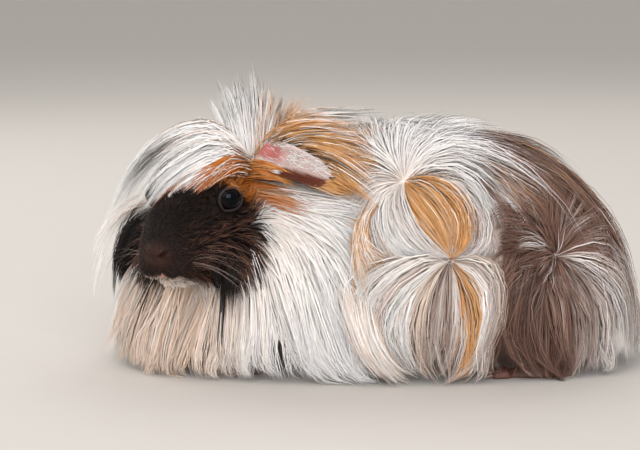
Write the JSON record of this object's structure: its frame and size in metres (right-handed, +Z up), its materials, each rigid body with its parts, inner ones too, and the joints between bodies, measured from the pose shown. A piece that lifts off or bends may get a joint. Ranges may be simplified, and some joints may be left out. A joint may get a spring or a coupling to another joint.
{
  "type": "guinea pig",
  "caption": "Life-size still model of a long-haired guinea pig with rosettes in its coat, standing and looking round over its left shoulder.",
  "frame": {"origin": "on the floor under the middle of the whole outline", "axes": "+Z up, the trunk along X with its rump end at +X, the animal's left side facing -Y"},
  "size_m": [0.255, 0.131, 0.134],
  "materials": {
    "white_coat": "long soft hair, dull",
    "cream_coat": "long soft hair, dull",
    "ginger_coat": "long soft hair, dull",
    "umber_coat": "long soft hair, dull",
    "sable_coat": "short soft hair, dull",
    "nose_skin": "bare moist skin, satin",
    "ear_skin": "thin bare skin, satin",
    "foot_skin": "bare skin, satin",
    "claw": "horn, satin",
    "eye": "wet, glossy"
  },
  "bodies": {
    "root": {"rump": "umber_coat", "barrel": "cream_coat", "shoulders": "ginger_coat", "chest": "white_coat", "neck": "white_coat", "forelock": "white_coat", "crest": "white_coat", "head": "sable_coat", "muzzle": "sable_coat", "nose": "nose_skin", "lower_jaw": "cream_coat", "ear_left": "ear_skin", "ear_right": "ear_skin", "eye_left": "eye", "eye_right": "eye", "foreleg_left": "foot_skin", "claw_foreleg_left_1": "claw", "claw_foreleg_left_2": "claw", "claw_foreleg_left_3": "claw", "claw_foreleg_left_4": "claw", "hindleg_left": "foot_skin", "claw_hindleg_left_1": "claw", "claw_hindleg_left_2": "claw", "claw_hindleg_left_3": "claw", "foreleg_right": "foot_skin", "claw_foreleg_right_1": "claw", "claw_foreleg_right_2": "claw", "claw_foreleg_right_3": "claw", "claw_foreleg_right_4": "claw", "hindleg_right": "foot_skin", "claw_hindleg_right_1": "claw", "claw_hindleg_right_2": "claw", "claw_hindleg_right_3": "claw"}
  },
  "joints": []
}
